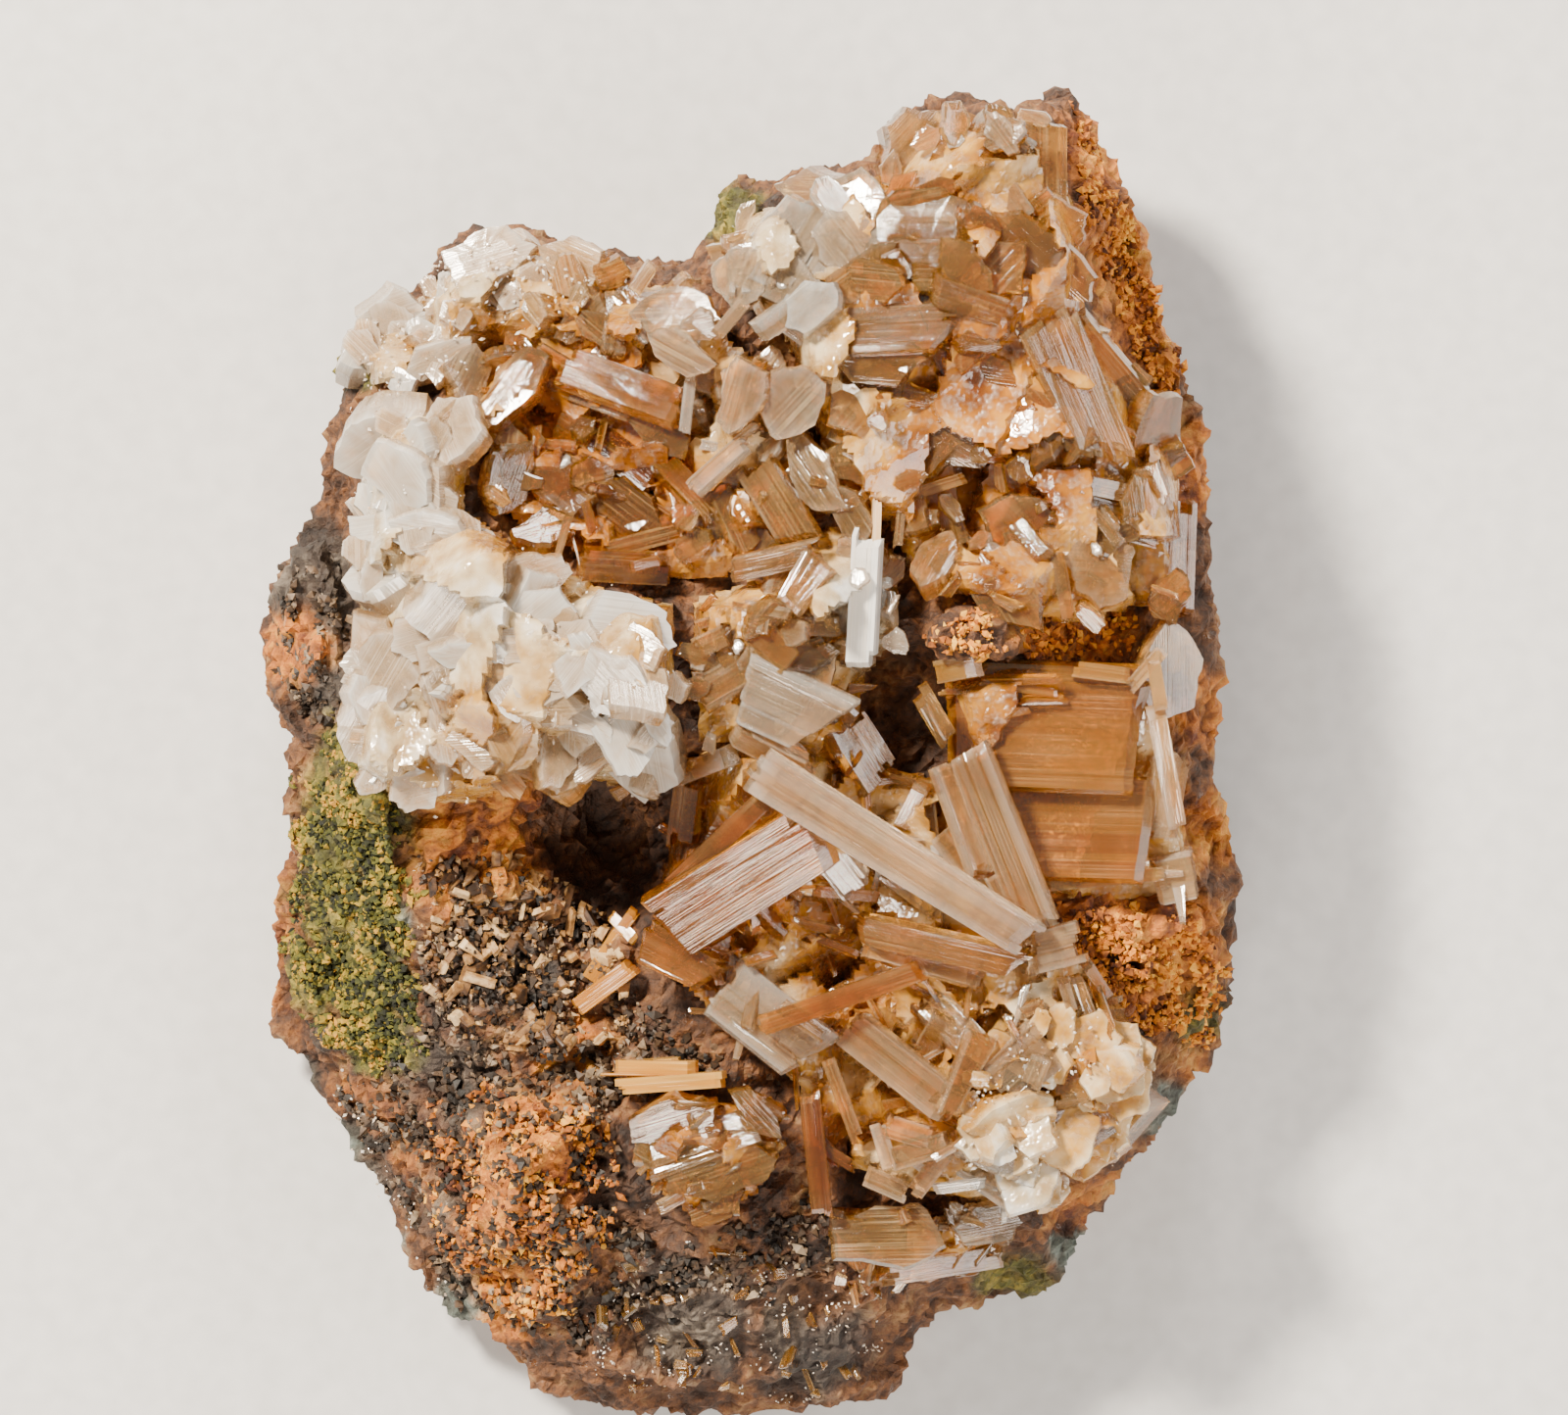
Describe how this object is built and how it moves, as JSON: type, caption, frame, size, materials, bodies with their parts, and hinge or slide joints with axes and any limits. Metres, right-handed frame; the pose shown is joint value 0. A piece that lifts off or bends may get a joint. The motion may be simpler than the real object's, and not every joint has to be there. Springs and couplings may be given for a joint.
{
  "type": "cerussite specimen on matrix",
  "caption": "Honey and white cerussite blades grown over a rough limonite matrix with a deep cavity and a green-yellow crusted flank.",
  "frame": {"origin": "bottom centre of the bounding box, on the flat broken back", "axes": "+Z out of the crystal face, +Y towards the top of the picture, +X towards its right"},
  "size_m": [0.041, 0.0556, 0.0236],
  "materials": {
    "rock": "matte",
    "blade": "glossy",
    "white": "glossy",
    "amber": "glossy"
  },
  "bodies": {
    "root": {"matrix": "rock", "blade_growth": "blade", "white_crust": "white", "corner_crystals": "white", "amber_blades": "amber", "lower_left_fan": "blade", "bottom_blades": "white", "golden_rods": "amber", "cavity_rods": "amber"}
  },
  "joints": []
}
